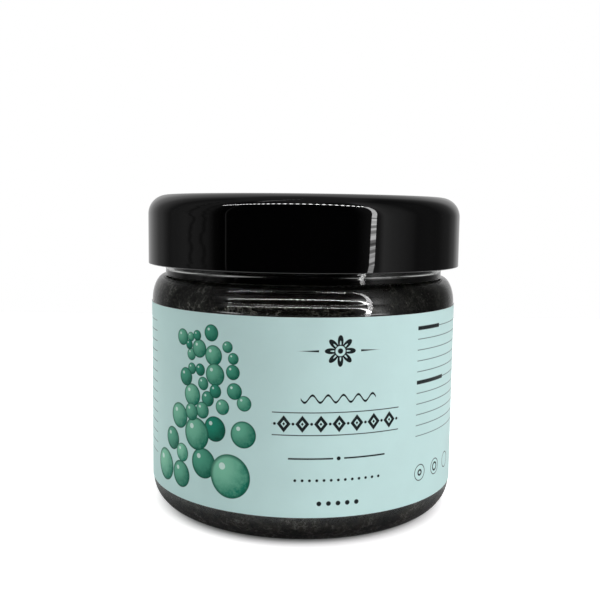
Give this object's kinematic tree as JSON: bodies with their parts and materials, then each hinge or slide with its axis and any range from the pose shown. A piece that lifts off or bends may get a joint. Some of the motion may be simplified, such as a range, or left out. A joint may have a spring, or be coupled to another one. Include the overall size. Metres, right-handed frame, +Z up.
{
  "type": "cosmetic cream jar",
  "caption": "Clear wide-mouth jar of dark soap paste with a wrap label, a pull disc in its mouth and a rounded glossy black lid that screws off.",
  "frame": {"origin": "centre of the jar's standing ring, on the surface it stands on", "axes": "+Z up along the jar's axis, towards the lid; the front of the label faces -Y and the label's seam is at +Y"},
  "size_m": [0.074, 0.074, 0.073],
  "materials": {
    "clear_plastic": "clear moulded plastic, high gloss",
    "dark_paste": "soft brown-black soap paste, damp sheen",
    "mint_paper": "satin printed label paper",
    "white_plastic": "satin moulded plastic",
    "wad_board": "plain board",
    "black_cap": "satin moulded plastic",
    "gloss_black": "polished moulded plastic"
  },
  "bodies": {
    "jar": {"jar_body": "clear_plastic", "soap_paste": "dark_paste", "wrap_label": "mint_paper"},
    "disc": {"sealing_disc": "white_plastic"},
    "wad": {"lid_wad": "wad_board"},
    "lid": {"lid_inner_cap": "black_cap", "lid_outer_shell": "gloss_black"}
  },
  "joints": [
    {"name": "lid_rise", "type": "slide", "parent": "jar", "child": "wad", "axis": [0, 0, 1], "range_m": [0, 0.0153]},
    {"name": "lid_turn", "type": "hinge", "parent": "wad", "child": "lid", "pos_m": [0, 0, 0.057], "axis": [0, 0, 1], "range_deg": [0, 1440]},
    {"name": "disc_lift", "type": "slide", "parent": "jar", "child": "disc", "axis": [0, 0, 1], "range_m": [0, 0.0043]}
  ],
  "couplings": [
    {"joint": "lid_rise", "follows": "lid_turn", "m_per_rad": 0.00060479},
    {"joint": "disc_lift", "follows": "lid_turn", "m_per_rad": 0.000167}
  ]
}
